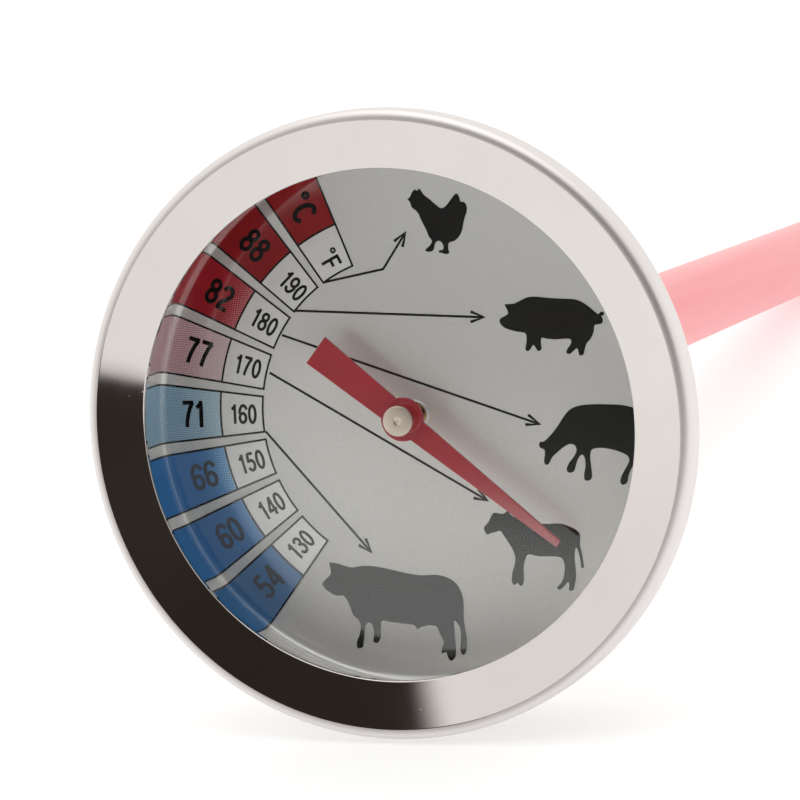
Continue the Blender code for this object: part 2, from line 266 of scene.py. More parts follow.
def ink(name, color, paper=None, dots=None, pitch=0.155, angle=4.0, rough=0.45, coat=1.0, painted_haze=0.0):
    """Screen-printed ink under varnish. With `dots` it is a halftone: round dots of ink on the paper colour, whose radius in pitches goes from dots[0] by the inner edge of the scale to dots[1] by its outer edge."""
    t = Tree(name)
    mottle = t.noise(t.coords(), 2500.0, 3.0, 0.6)
    p = t.principled()
    # the sheet is flat, then rises into the rim: `out` is the distance from the centre along the sheet
    x, y, z = t.node("ShaderNodeSeparateXYZ", Vector=t.coords()).outputs
    r = t.math("SQRT", t.math("ADD", t.math("MULTIPLY", x, x), t.math("MULTIPLY", y, y)))
    out = t.math("ADD", r, t.math("MULTIPLY", t.math("SUBTRACT", DIAL_S * MM, z), t.math("GREATER_THAN", z, 1 * MM)))  # flat pieces have their own z near 0
    if dots:
        # the screen is laid out on the flat sheet
        k = t.math("DIVIDE", out, r)
        flat_xy = t.node("ShaderNodeCombineXYZ", X=t.math("MULTIPLY", x, k), Y=t.math("MULTIPLY", y, k), Z=0.0).outputs[0]
        m = t.node("ShaderNodeMapping", Vector=flat_xy)
        m.inputs["Rotation"].default_value = (0, 0, math.radians(angle))
        m.inputs["Scale"].default_value = (1000 / pitch, 1000 / pitch, 0)
        sep = t.node("ShaderNodeSeparateXYZ", Vector=m.outputs[0])
        fx = t.math("SUBTRACT", t.math("FRACT", sep.outputs[0]), 0.5)
        fy = t.math("SUBTRACT", t.math("FRACT", sep.outputs[1]), 0.5)
        d = t.math("SQRT", t.math("ADD", t.math("MULTIPLY", fx, fx), t.math("MULTIPLY", fy, fy)))
        size = t.remap(out, 17.3 * MM, 21.0 * MM, dots[0], dots[1])
        inside = t.math("SUBTRACT", 1.0, t.smooth(t.math("SUBTRACT", d, size), -0.10, 0.10))
        col = t.mix(inside, paper, color)
    else:
        col = t.mix(t.remap(mottle, 0.3, 0.7, 0.0, 0.25), color, tuple(c * 0.8 for c in color[:3]))
    if painted_haze:  # stands in for a haze of reflected light on the flat
        # painted reflection: over the flat the ink is mixed towards a pale grey, for a haze of reflected light; the rim
        # wall is left clear
        painted_haze_mask = t.math("MULTIPLY", t.smooth(out, 17.6 * MM, 18.8 * MM), t.math("SUBTRACT", 1.0, t.smooth(out, 21.6 * MM, 22.1 * MM)))
        col = t.mix(t.math("MULTIPLY", painted_haze_mask, painted_haze), col, (0.75, 0.72, 0.70))
    t.nt.links.new(col, p.inputs["Base Color"])
    t.nt.links.new(t.remap(mottle, 0.3, 0.7, rough * 0.85, rough * 1.15), p.inputs["Roughness"])
    t.nt.links.new(t.bump(mottle, 0.08, 0.00001), p.inputs["Normal"])
    p.inputs["Specular IOR Level"].default_value = 0.2
    varnish(p, coat)
    t.nt.links.new(t.remap(out, 21.7 * MM, 22.2 * MM, 0.07, 0.26), p.inputs["Coat Roughness"])  # a softer highlight round the corner
    return t.finish(p)


def lens_glass(name):
    """Flat coated window glass: mirrors a little by Fresnel and lets everything else straight through, with faint wipe marks."""
    t = Tree(name)
    back = t.node("ShaderNodeNewGeometry").outputs["Backfacing"]
    ior = t.math("ADD", 1.5, t.math("MULTIPLY", back, 1 / 1.5 - 1.5))
    fres = t.node("ShaderNodeFresnel", IOR=ior)
    smear = t.noise(t.scaled(t.coords(), (60, 220, 60)), 1.0, 4.0, 0.6)
    gloss = t.node("ShaderNodeBsdfGlossy", Color=(1, 1, 1, 1))
    t.nt.links.new(t.remap(smear, 0.45, 0.75, 0.0, 0.05), gloss.inputs["Roughness"])
    clear = t.node("ShaderNodeBsdfTransparent", Color=(0.985, 0.992, 0.988, 1))
    m = t.node("ShaderNodeMixShader", Fac=t.math("MULTIPLY", fres.outputs[0], 0.14))
    t.nt.links.new(clear.outputs[0], m.inputs[1])
    t.nt.links.new(gloss.outputs[0], m.inputs[2])
    return t.finish(m)


def plastic(name, color, deep, pale, rough=0.34):
    """Translucent moulded plastic: light scatters inside it, with faint flow lines along its length."""
    t = Tree(name)
    flow = t.noise(t.scaled(t.coords(), (420, 420, 22)), 1.0, 2.0, 0.5)
    fine = t.noise(t.coords(), 7000.0, 2.0, 0.5)
    # painted light: the colour turns paler towards the silhouette, for light coming through the thin edges and
    # reflected there
    rim = t.node("ShaderNodeLayerWeight", Blend=0.42).outputs["Facing"]  # thin at the edges, where more light comes through
    p = t.principled()
    p.inputs["Subsurface Weight"].default_value = 0.45
    p.inputs["Subsurface Radius"].default_value = (1.0, 0.55, 0.5)
    p.inputs["Subsurface Scale"].default_value = 0.0012
    p.inputs["Coat Weight"].default_value = 0.12
    p.inputs["Coat Roughness"].default_value = 0.22
    core = t.mix(t.remap(flow, 0.3, 0.7, 0.0, 1.0), color, deep)
    t.nt.links.new(t.mix(t.smooth(rim, 0.35, 0.95), core, pale), p.inputs["Base Color"])
    t.nt.links.new(t.remap(flow, 0.3, 0.7, rough * 0.9, rough * 1.15), p.inputs["Roughness"])
    t.nt.links.new(t.bump(fine, 0.05, 0.00001), p.inputs["Normal"])
    return t.finish(p)


def rubber(name):
    t = Tree(name)
    grain = t.noise(t.coords(), 4000.0, 3.0, 0.6)
    p = t.principled()
    t.nt.links.new(t.mix(grain, (0.018, 0.018, 0.018), (0.05, 0.05, 0.048)), p.inputs["Base Color"])
    t.nt.links.new(t.remap(grain, 0.3, 0.7, 0.6, 0.85), p.inputs["Roughness"])
    t.nt.links.new(t.bump(grain, 0.2, 0.00003), p.inputs["Normal"])
    return t.finish(p)


DIAL_S = 8.30
# the lit and the shaded tone of the painted light on the dial lacquer
DIAL_PAINTED_LIT = (0.95, 0.925, 0.905)
DIAL_PAINTED_SHADE = (0.50, 0.475, 0.465)
PAPER = (0.88, 0.86, 0.85, 1.0)

M_STEEL = steel("polished_steel_fine", color=(0.67, 0.635, 0.615), rough=(0.02, 0.05), brush=0.012, edge=0.02508)
M_CUP = steel("drawn_steel_fine", color=(0.74, 0.73, 0.71), rough=(0.07, 0.12), brush=0.015, specks=0.2)
M_STEM = steel("stem_steel_fine", color=(0.78, 0.77, 0.76), rough=(0.10, 0.18), brush=0.05, specks=0.3, along=9000)
M_SATIN = turned_metal("satin_steel_fine", (0.66, 0.65, 0.64), 0.28)
M_BRASS = turned_metal("brass_fine", (0.74, 0.52, 0.22), 0.26)
M_NICKEL = turned_metal("nickel_fine", (0.64, 0.54, 0.47), 0.30, marks=0.18, scale=20000, tarnish=0.05)
M_BIMETAL = turned_metal("bimetal_fine", (0.55, 0.47, 0.38), 0.36, marks=0.12, scale=6000, tarnish=0.2)
M_RUBBER = rubber("rubber_fine")
M_GLASS = lens_glass("lens_glass_fine")
M_POINTER = paint("pointer_enamel", srgb(176, 22, 40)[:3], rough=0.42)
M_DIAL = dial_base("dial_lacquer")
M_SHEATH = plastic("sheath_plastic", (0.88, 0.185, 0.21), (0.86, 0.165, 0.19), (0.91, 0.29, 0.305))
M_BLACK = ink("print_black", (0.0040, 0.0036, 0.0036))
# painted reflection: a grey black for the three lowest outer figures, for a haze of reflected light over them
M_PAINTED_HAZE_BLACK = ink("print_black_painted_haze", (0.105, 0.120, 0.135))
M_LINE = ink("print_line_black", (0.0060, 0.0055, 0.0055))
M_WHITE = ink("print_white", PAPER[:3], rough=0.5)

# ---------------------------------------------------------------- geometry helpers
PIECES = []


def keep(obj, body, mat=None, replaces=()):
    if mat is not None:
        obj.data.materials.clear()
        obj.data.materials.append(mat)
    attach(obj, body)
    if replaces:
        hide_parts(*replaces)
    PIECES.append(obj)
    return obj


def link(obj):
    bpy.context.scene.collection.objects.link(obj)
    return obj


def arc(cx, cy, r, start, end, steps):
    return [
        (cx + r * math.cos(math.radians(start + (end - start) * i / steps)),
         cy + r * math.sin(math.radians(start + (end - start) * i / steps)))
        for i in range(steps + 1)
    ]


def lathe(name, profile, segs, body, mat, replaces=(), angle=28, matrix=None):
    """Turns an outline of (radius, depth) points in millimetres about the axis. An outline that starts and ends on the axis is a solid of revolution, any other closes on itself as a ring."""
    solid = profile[0][0] < 1e-9 and profile[-1][0] < 1e-9
    bm = bmesh.new()
    rings = []
    for r, s in profile:
        if r < 1e-9:
            rings.append([bm.verts.new((0, 0, s * MM))] * segs)
        else:
            rings.append([
                bm.verts.new((r * MM * math.cos(2 * math.pi * i / segs), r * MM * math.sin(2 * math.pi * i / segs), s * MM))
                for i in range(segs)
            ])
    n = len(rings)
    for k in range(n - 1 if solid else n):
        a, b = rings[k], rings[(k + 1) % n]
        for i in range(segs):
            j = (i + 1) % segs
            verts = []
            for v in (a[i], a[j], b[j], b[i]):
                if v not in verts:
                    verts.append(v)
            if len(verts) > 2:
                bm.faces.new(verts)
    bmesh.ops.recalc_face_normals(bm, faces=bm.faces)
    mesh = bpy.data.meshes.new(name)
    bm.to_mesh(mesh)
    bm.free()
    mesh.shade_smooth()
    mesh.set_sharp_from_angle(angle=math.radians(angle))
    obj = link(bpy.data.objects.new(name, mesh))
    obj.matrix_world = matrix or STEM
    return keep(obj, body, mat, replaces)


def rounded(points, radius, steps=3):
    """The closed outline with each corner cut by a small arc-like curve, so that edges catch light."""
    out = []
    n = len(points)
    for i in range(n):
        p0, p1, p2 = (Vector(points[i - 1]), Vector(points[i]), Vector(points[(i + 1) % n]))
        a, b = p0 - p1, p2 - p1
        cut = min(radius, a.length * 0.45, b.length * 0.45)
        if cut < 1e-6:
            out.append(tuple(p1))
            continue
        s, e = p1 + a.normalized() * cut, p1 + b.normalized() * cut
        for k in range(steps + 1):
            t = k / steps
            q = s * (1 - t) ** 2 + p1 * 2 * t * (1 - t) + e * t ** 2
            out.append(tuple(q))
    return out


def ring(r_in, r_out, s0, s1, radius=0.06):
    return rounded([(r_in, s0), (r_out, s0), (r_out, s1), (r_in, s1)], radius)


def to_mesh(obj, name):
    """A curve or text object as a mesh, caps welded."""
    bpy.context.view_layer.update()
    graph = bpy.context.evaluated_depsgraph_get()
    mesh = bpy.data.meshes.new_from_object(obj.evaluated_get(graph))
    world = obj.matrix_world.copy()
    bpy.data.objects.remove(obj, do_unlink=True)
    bm = bmesh.new()
    bm.from_mesh(mesh)
    bmesh.ops.remove_doubles(bm, verts=bm.verts, dist=0.0000005)
    bmesh.ops.recalc_face_normals(bm, faces=bm.faces)
    bm.to_mesh(mesh)
    bm.free()
    mesh.name = name
    made = link(bpy.data.objects.new(name, mesh))
    made.matrix_world = world
    return made


def flat(name, loops, s, thick, bevel=0.0):
    """A flat shape on the dial: loops of (x, y) in millimetres, its front s mm behind the bezel's front, thick mm thick."""
    data = bpy.data.curves.new(name, "CURVE")
    data.dimensions = "2D"
    data.fill_mode = "BOTH"
    data.extrude = (thick / 2 - bevel) * MM
    data.bevel_depth = bevel * MM
    data.bevel_resolution = 1
    data.offset = -bevel * MM
    for loop in loops:
        sp = data.splines.new("POLY")
        sp.points.add(len(loop) - 1)
        for pt, (x, y) in zip(sp.points, loop):
            pt.co = (x * MM, y * MM, 0, 1)
        sp.use_cyclic_u = True
    obj = link(bpy.data.objects.new(name, data))
    obj.matrix_world = dial_matrix(s + thick / 2)
    return to_mesh(obj, name)


def sector(r0, r1, a0, a1, steps=14):
    outer = [(r1 * math.cos(math.radians(a0 + (a1 - a0) * i / steps)), r1 * math.sin(math.radians(a0 + (a1 - a0) * i / steps))) for i in range(steps + 1)]
    inner = [(r0 * math.cos(math.radians(a1 + (a0 - a1) * i / steps)), r0 * math.sin(math.radians(a1 + (a0 - a1) * i / steps))) for i in range(steps + 1)]
    return outer + inner


def smooth_loop(points, sub=5, tension=0.5):
    """A closed outline through the points, rounded with a Catmull-Rom curve. A point given as (x, y, 1) stays a corner."""
    out = []
    n = len(points)
    for i in range(n):
        p0, p1, p2, p3 = (points[(i + k) % n] for k in (-1, 0, 1, 2))
        c1 = len(p1) > 2
        c2 = len(p2) > 2
        a, b = Vector(p1[:2]), Vector(p2[:2])
        m1 = Vector((0, 0)) if c1 else (b - Vector(p0[:2])) * tension
        m2 = Vector((0, 0)) if c2 else (Vector(p3[:2]) - a) * tension
        if c1:
            m1 = (b - a) * 0.5
        if c2:
            m2 = (b - a) * 0.5
        for k in range(sub):
            t = k / sub
            h = (2 * t**3 - 3 * t**2 + 1, t**3 - 2 * t**2 + t, -2 * t**3 + 3 * t**2, t**3 - t**2)
            out.append(tuple(a * h[0] + m1 * h[1] + b * h[2] + m2 * h[3]))
    return out


# ---------------------------------------------------------------- turned pieces
def bezel():
    slope = math.tan(math.radians(9.35))
    roll = arc(25.20, 0.84, 0.80, -99.35, 0, 16)
    r0, s0 = roll[0]
    r1 = 21.24
    s1 = s0 + slope * (r0 - r1)
    face_in = [(21.14, 1.16), (21.14, s1 + 0.16)] + arc(21.2595, s1 + 0.1184, 0.12, 186, 252, 4)
    face_in += [(r1 + x, s1 - slope * x) for x in (0.0, 0.02, 0.06, r0 - r1 - 0.06, r0 - r1 - 0.02)]
    side = [(26.0, 1.4), (26.0, 2.2)] + arc(25.45, 2.72, 0.55, 0, 88, 12)
    back = [(23.85, 3.44), (23.72, 3.36), (23.7, 3.14), (23.78, 3.06), (25.2, 3.04), (25.45, 2.9), (25.5, 2.6), (25.5, 1.1), (25.4, 0.75), (25.1, 0.52)]
    lathe("bezel_ring_fine", face_in + roll + side + back, 288, "head", M_STEEL, ["bezel_ring"], angle=34)


def cup():
    t, floor, r = 0.45, 11.4, 23.1
    inner = [(r, 2.70)] + arc(r - 1.2, 10.2, 1.2, 0, 90, 12)
    seat = [(6.1, floor), (5.75, floor - 0.06), (5.5, floor - 0.26), (5.2, floor - 0.3), (2.56, floor - 0.3),
            (2.56, floor - 0.3 + t), (5.2, floor - 0.3 + t), (5.5, floor - 0.26 + t), (5.75, floor - 0.06 + t), (6.1, floor + t)]
    outer = arc(r - 1.2, 10.2, 1.65, 90, 0, 12)
    flange = [(r + t, 3.2), (r + t + 0.1, 3.04), (r + t + 0.25, 3.0), (25.15, 3.0), (25.2, 2.92), (25.2, 2.70), (25.14, 2.64), (r + 0.08, 2.64)]
    lathe("case_cup_fine", inner + seat + outer + flange, 256, "head", M_CUP, ["case_cup"], angle=34)


# The dial is a shallow dish: flat to 22.0, then a small radius up into the rim. Points are (r, s, and the way the front faces as (r, s)).
DISH_R, DISH_CORNER = 22.7, 0.8


def dish_path(*radii):
    """The front of the dish from the given radii on the flat, round the corner and up the rim."""
    path = [(r, DIAL_S, 0.0, -1.0) for r in radii]
    for i in range(0, 9):
        a = math.radians(90 * i / 8)
        path.append((DISH_R - DISH_CORNER + DISH_CORNER * math.sin(a), DIAL_S - DISH_CORNER + DISH_CORNER * math.cos(a), -math.sin(a), -math.cos(a)))
    return path + [(DISH_R, 6.2, -1.0, 0.0), (DISH_R, 4.6, -1.0, 0.0), (DISH_R, 3.15, -1.0, 0.0)]


def dish():
    front = [(1.30, 8.30), (1.24, 8.22), (1.16, 8.18), (1.09, 8.20), (1.05, 8.28), (1.05, 8.52), (1.08, 8.6), (1.2, 8.6)]
    front = front[::-1] + [(r, s) for r, s, _, _ in dish_path()][:9]
    rim = [(22.7, 3.0), (22.76, 2.93), (22.85, 2.90), (22.94, 2.93), (23.0, 3.0)]
    back = arc(22.0, 7.6, 1.0, 0, 90, 8)
    lathe("dial_plate_fine", front + rim + back, 256, "head", M_DIAL, ["dial_plate"], angle=40)


bezel()
cup()
dish()
lathe("lens_fine", [(0, 1.32), (24.55, 1.32), (24.7, 1.42), (24.7, 2.22), (24.55, 2.32), (0, 2.32)], 192, "head", M_GLASS, ["lens"])
lathe("lens_gasket_fine", ring(22.3, 24.7, 2.36, 2.60, 0.08), 128, "head", M_RUBBER, ["lens_gasket"])
seat_s = 11.1
lathe("collar_washer_fine", ring(2.56, 4.4, seat_s + 0.50, seat_s + 0.75, 0.08), 96, "head", M_RUBBER, ["collar_washer"])
f = seat_s + 0.80
lathe("stem_collar_fine", rounded([
    (2.06, 9.9), (2.5, 9.9), (2.5, f), (4.7, f), (5.0, f + 0.3), (5.0, f + 1.2), (4.5, f + 1.6), (2.6, f + 1.6), (2.6, 17.8), (2.4, 18.0), (2.06, 18.0)
], 0.09), 96, "head", M_SATIN, ["stem_collar"])
lathe("stem_tube_fine", ring(1.74, 2.0, 9.9, 134.0, 0.05), 72, "head", M_STEM, ["stem_tube"])
lathe("stem_tip_fine", [(0, 130.0), (1.62, 130.0), (1.68, 130.06), (1.68, 134.06), (1.97, 134.06), (2.0, 134.1), (2.0, 134.5)]
      + arc(2.0 - 3.2, 134.5, 3.2, 0, 10.5, 4)[1:] + [(0.62, 141.1)] + arc(0, 141.15, 0.62, 8, 90, 6)[:-1] + [(0, 141.77)], 72, "head", M_STEM, ["stem_tip"])
lathe("spindle_bearing_fine", [(0.56, 9.18), (0.62, 9.1), (1.30, 9.1), (1.9, 9.3), (1.9, 9.84), (1.68, 9.84), (1.68, 13.0), (0.56, 13.0)], 64, "head", M_BRASS, ["spindle_bearing"])
lathe("spindle_fine", [(0, 4.2), (0.5, 4.2), (0.5, 5.82), (0.68, 5.82), (0.72, 5.86), (0.72, 6.66), (0.68, 6.7), (0.5, 6.7), (0.5, 95.6), (0, 95.6)], 48, "pointer_assembly", M_SATIN, ["spindle"])
lathe("pointer_hub_fine", [(0, 3.80), (0.07, 3.79), (0.12, 3.765), (0.17, 3.78), (0.23, 3.775), (0.28, 3.752), (0.36, 3.75), (1.16, 3.75)] + arc(1.16, 3.87, 0.12, -90, 0, 5)[1:]
      + [(1.28, 4.05), (1.24, 4.12), (1.10, 4.16), (0.95, 4.20), (0.9, 4.3), (0.9, 5.01), (0.56, 5.01), (0.56, 4.14), (0, 4.14)], 96, "pointer_assembly", M_NICKEL, ["pointer_hub"])
lathe("pointer_washer_fine", ring(0.56, 1.1, 5.39, 5.78, 0.06), 64, "pointer_assembly", M_BRASS, ["pointer_washer"])
lathe("sheath_fine", [(0, 150.0)] + arc(0, 146.3, 3.7, 86, 0, 14) + [(4.1, 14.6)] + arc(3.8, 14.55, 0.3, 0, -80, 5)
      + [(2.85, 14.22), (2.72, 14.34), (2.70, 14.5), (2.70, 18.3), (2.35, 18.6), (2.35, 143.0), (1.2, 145.4), (0, 145.4)], 128, "probe_sheath", M_SHEATH, ["sheath"], angle=40)

for node, mat in (
    ("dial_support_ring", M_SATIN), ("collar_lock_ring", M_BRASS), ("spindle_guide", M_BRASS),
    ("coil_anchor", M_BRASS), ("coil_coupling", M_BRASS), ("bimetal_coil", M_BIMETAL),
):
    mesh = frame["nodes"][node].data
    mesh.materials.clear()
    mesh.materials.append(mat)

# ---------------------------------------------------------------- pointer
ANGLE = -38.3


def pointer():
    b = 1.85
    tail_w, tail_root, tip_root, tip_w = 1.385, 1.07, 0.96, 0.315
    ta, pa = math.degrees(math.asin(tail_root / b)), math.degrees(math.asin(tip_root / b))
    upper = arc(0, 0, b, pa, 180 - ta, 22)
    lower = arc(0, 0, b, 180 + ta, 360 - pa, 22)
    outline = [(16.66, -tip_w), (16.66, tip_w)] + upper + [(-9.36, tail_w), (-9.36, -tail_w)] + lower
    c, s = math.cos(math.radians(ANGLE)), math.sin(math.radians(ANGLE))
    turn = lambda pts: [(x * c - y * s, x * s + y * c) for x, y in pts]
    hole = arc(0, 0, 0.56, 0, 360 * 31 / 32, 31)
    obj = flat("pointer_fine", [turn(outline), turn(hole)], 5.05, 0.3, bevel=0.045)
    obj.data.shade_smooth()
    obj.data.set_sharp_from_angle(angle=math.radians(12))
    keep(obj, "pointer_assembly", M_POINTER, ["pointer"])


pointer()

# ---------------------------------------------------------------- dial print
# Heights above the lacquer: colour 0.012 mm, then lines and figures 0.02 mm. Each layer sinks a little into the dial.
R_MID, R_IN = 17.16, 13.40
TH0, DTH, WIDTH = 111.35, 15.523, 12.77
LABELS = [("*C", "*F"), ("88", "190"), ("82", "180"), ("77", "170"), ("71", "160"), ("66", "150"), ("60", "140"), ("54", "130")]
RED = (0.33, 0.007, 0.011)
BLUE = (0.030, 0.215, 0.56)
INKS = [
    ink("ink_red", RED),
    ink("ink_red_b", RED),
    ink("ink_red_light", (0.42, 0.012, 0.024), (0.86, 0.38, 0.42), (0.44, 0.80)),
    ink("ink_pink", (0.46, 0.13, 0.18), (0.86, 0.72, 0.72), (0.24, 0.40)),
    ink("ink_pale_blue", (0.14, 0.36, 0.58), (0.70, 0.83, 0.88), (0.30, 0.44)),
    ink("ink_blue_light", BLUE, (0.40, 0.72, 0.88), (0.40, 0.80), painted_haze=0.10),
    ink("ink_blue", (0.030, 0.20, 0.52), (0.36, 0.66, 0.84), (0.50, 0.85), painted_haze=0.11),
    ink("ink_blue_deep", (0.035, 0.19, 0.45), painted_haze=0.11),
]
LINE = 0.083  # half the width of a printed line


def shell(name, path, angles, filled, mat, height):
    """A closed skin of print on the dish. Its front is the cells of a grid (path by angle) for which filled(i, j) holds, `angles(r)` being the grid's angles in degrees at radius r."""
    bm = bmesh.new()
    front, back = [], []
    for r, s, nr, ns in path:
        rows = []
        for lift in (height, -0.004):
            rr, ss = (r + nr * lift) * MM, (s + ns * lift) * MM
            rows.append([bm.verts.new((rr * math.cos(math.radians(-a)), rr * math.sin(math.radians(-a)), ss)) for a in angles(r)])
        front.append(rows[0])
        back.append(rows[1])
    n, m = len(path) - 1, len(front[0]) - 1
    full = lambda i, j: 0 <= i < n and 0 <= j < m and filled(i, j)
    for i in range(n):
        for j in range(m):
            if not full(i, j):
                continue
            bm.faces.new((front[i][j], front[i + 1][j], front[i + 1][j + 1], front[i][j + 1]))
            bm.faces.new((back[i][j + 1], back[i + 1][j + 1], back[i + 1][j], back[i][j]))
            for di, dj, p, q in ((-1, 0, (i, j), (i, j + 1)), (1, 0, (i + 1, j + 1), (i + 1, j)), (0, -1, (i + 1, j), (i, j)), (0, 1, (i, j + 1), (i + 1, j + 1))):
                if not full(i + di, j + dj):
                    bm.faces.new((front[p[0]][p[1]], front[q[0]][q[1]], back[q[0]][q[1]], back[p[0]][p[1]]))
    bmesh.ops.delete(bm, geom=[v for v in bm.verts if not v.link_faces], context="VERTS")
    bmesh.ops.recalc_face_normals(bm, faces=bm.faces)
    mesh = bpy.data.meshes.new(name)
    bm.to_mesh(mesh)
    bm.free()
    mesh.shade_smooth()
    mesh.set_sharp_from_angle(angle=math.radians(35))
    obj = link(bpy.data.objects.new(name, mesh))
    obj.matrix_world = STEM
    return keep(obj, "head", mat)


def prism(name, polys, mat, height, matrix=None):
    """The union of overlapping polygons in (x, y) millimetres on the flat of the dial, as one thin closed solid."""
    coords, faces, index = [], [], {}
    for poly in polys:
        face = []
        for x, y in poly:
            key = (round(x, 4), round(y, 4))
            if key not in index:
                index[key] = len(coords)
                coords.append(Vector(key))
            if not face or face[-1] != index[key]:
                face.append(index[key])
        if len(set(face)) > 2:
            area = sum(coords[p].x * coords[q].y - coords[q].x * coords[p].y for p, q in zip(face, face[1:] + face[:1]))
            faces.append(face if area > 0 else face[::-1])
    verts, _, tris, _, _, owners = delaunay_2d_cdt(coords, [], faces, 0, 1e-5)
    bm = bmesh.new()
    z0, z1 = -0.004 * MM, height * MM
    low = [bm.verts.new((v.x * MM, v.y * MM, z0)) for v in verts]
    top = [bm.verts.new((v.x * MM, v.y * MM, z1)) for v in verts]
    edges = {}
    kept = [tri for tri, owner in zip(tris, owners) if owner]
    for tri in kept:
        for p, q in zip(tri, tri[1:] + tri[:1]):
            edges[(p, q)] = edges.get((p, q), 0) + 1
    for tri in kept:
        bm.faces.new([top[i] for i in tri])
        bm.faces.new([low[i] for i in reversed(tri)])
    for p, q in edges:
        if (q, p) not in edges:
            bm.faces.new((low[p], low[q], top[q], top[p]))
    bmesh.ops.delete(bm, geom=[v for v in bm.verts if not v.link_faces], context="VERTS")
    bmesh.ops.recalc_face_normals(bm, faces=bm.faces)
    mesh = bpy.data.meshes.new(name)
    bm.to_mesh(mesh)
    bm.free()
    obj = link(bpy.data.objects.new(name, mesh))
    obj.matrix_world = dial_matrix(DIAL_S) @ (matrix or Matrix())
    return keep(obj, "head", mat)


def printed(name, loops, mat, height):
    return prism(name, loops, mat, height)


# Figures as strokes on a body one unit high: each stroke is a list of points down the middle of a bar of constant width.
STROKE = 0.163


def oval(cx, cy, rx, ry, a0=0, a1=360, steps=26):
    return [(cx + rx * math.cos(math.radians(a0 + (a1 - a0) * i / steps)), cy + ry * math.sin(math.radians(a0 + (a1 - a0) * i / steps))) for i in range(steps + 1)]


SIX = [oval(0.262, 0.305, 0.186, 0.236), oval(0.30, 0.55, 0.225, 0.385, 187, 28, 20)]
GLYPHS = {
    "0": (0.525, [oval(0.262, 0.5, 0.186, 0.43, 0, 360, 34)]),
    "1": (0.40, [[(0.235, 0.0), (0.235, 1.0)], [(0.235, 0.93), (0.16, 0.815), (0.045, 0.745)]]),
    "2": (0.525, [oval(0.262, 0.725, 0.183, 0.205, 178, -22, 16) + [(0.35, 0.50), (0.16, 0.27), (0.085, 0.07)], [(0.03, 0.07), (0.495, 0.07)]]),
    "3": (0.525, [oval(0.25, 0.745, 0.168, 0.186, 170, -90, 18) + [(0.19, 0.559)], [(0.19, 0.545), (0.25, 0.545)] + oval(0.25, 0.308, 0.190, 0.238, 88, -170, 20)]),
    "4": (0.525, [[(0.375, 0.0), (0.375, 1.0)], [(0.375, 0.97), (0.06, 0.29)], [(0.015, 0.285), (0.515, 0.285)]]),
    "5": (0.525, [[(0.46, 0.93), (0.135, 0.93)], [(0.155, 0.96), (0.105, 0.50)], [(0.09, 0.50), (0.14, 0.575)] + oval(0.255, 0.325, 0.190, 0.256, 108, -163, 22)]),
    "6": (0.525, SIX),
    "7": (0.525, [[(0.035, 0.93), (0.49, 0.93)], [(0.45, 0.93), (0.34, 0.72), (0.25, 0.44), (0.205, 0.20), (0.19, 0.0)]]),
    "8": (0.525, [oval(0.262, 0.748, 0.165, 0.182), oval(0.262, 0.298, 0.190, 0.228)]),
    "9": (0.525, [[(0.525 - x, 1 - y) for x, y in stroke_] for stroke_ in SIX]),
    "C": (0.64, [oval(0.345, 0.5, 0.265, 0.43, 40, 320, 30)]),
    "F": (0.53, [[(0.10, 0.0), (0.10, 1.0)], [(0.10, 0.93), (0.53, 0.93)], [(0.10, 0.50), (0.48, 0.50)]]),
    "*": (0.36, [oval(0.16, 0.87, 0.105, 0.105, 0, 360, 20)]),
}


def bar(points, half):
    """The quadrilaterals of a stroke, mitred where it bends and cut square at its ends."""
    pts = [Vector(p) for p in points]
    closed = (pts[0] - pts[-1]).length < 1e-6
    offsets = []
    n = len(pts)
    for i, p in enumerate(pts):
        before = pts[i - 1] if i else (pts[-2] if closed else None)
        after = pts[i + 1] if i < n - 1 else (pts[1] if closed else None)
        d1 = (p - before).normalized() if before is not None else None
        d2 = (after - p).normalized() if after is not None else None
        d = (d1 + d2).normalized() if d1 is not None and d2 is not None else (d1 if d2 is None else d2)
        w = half / max(0.5, d.dot(d1)) if d1 is not None and d2 is not None else half
        offsets.append(Vector((-d.y, d.x)) * w)
    return [[tuple(pts[i] + offsets[i]), tuple(pts[i] - offsets[i]), tuple(pts[i + 1] - offsets[i + 1]), tuple(pts[i + 1] + offsets[i + 1])] for i in range(n - 1)]


def text(name, body, x, y, size, angle, squeeze=0.95, weight=STROKE, mat=None):
    """A row of figures `size` mm high, centred on (x, y) and turned by `angle` degrees."""
    gap = 0.045
    total = sum(GLYPHS[c][0] for c in body) + gap * (len(body) - 1)
    polys, at = [], -total / 2
    for c in body:
        for points in GLYPHS[c][1]:
            w = weight if c != "*" else weight * 0.72
            polys += [[((px + at) * size * squeeze, (py - 0.5) * size) for px, py in quad] for quad in bar(points, w / 2)]
        at += GLYPHS[c][0] + gap
    c, s = math.cos(math.radians(angle)), math.sin(math.radians(angle))
    turned = [[(x + px * c - py * s, y + px * s + py * c) for px, py in poly] for poly in polys]
    return prism(name, turned, mat or M_BLACK, 0.020)


